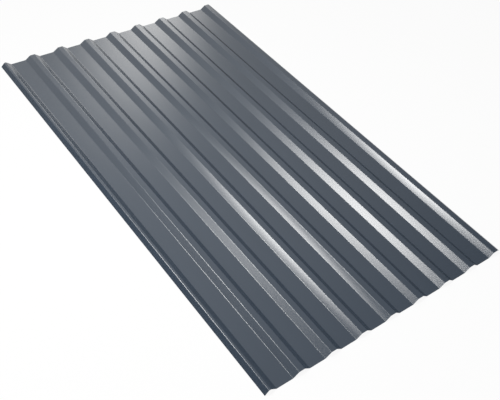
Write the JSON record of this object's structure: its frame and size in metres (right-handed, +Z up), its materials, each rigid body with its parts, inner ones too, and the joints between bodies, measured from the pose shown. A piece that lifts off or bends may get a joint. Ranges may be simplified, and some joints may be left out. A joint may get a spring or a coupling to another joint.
{
  "type": "trapezoidal corrugated metal sheet",
  "caption": "Rectangular roll-formed steel sheet with straight trapezoidal ribs along its length, for roofing and cladding; one edge underlaps and the other overlaps the next sheet.",
  "frame": {"origin": "middle of the sheet's bounding box, on the plane of the pans' undersides", "axes": "+Y along the ribs and the sheet's length, +X across the ribs towards the overlap edge, +Z up, towards the crests"},
  "size_m": [1.1337, 2, 0.0185],
  "materials": {
    "painted_steel": "satin coil-coated graphite grey paint"
  },
  "bodies": {
    "root": {"corrugated_sheet": "painted_steel"}
  },
  "joints": []
}
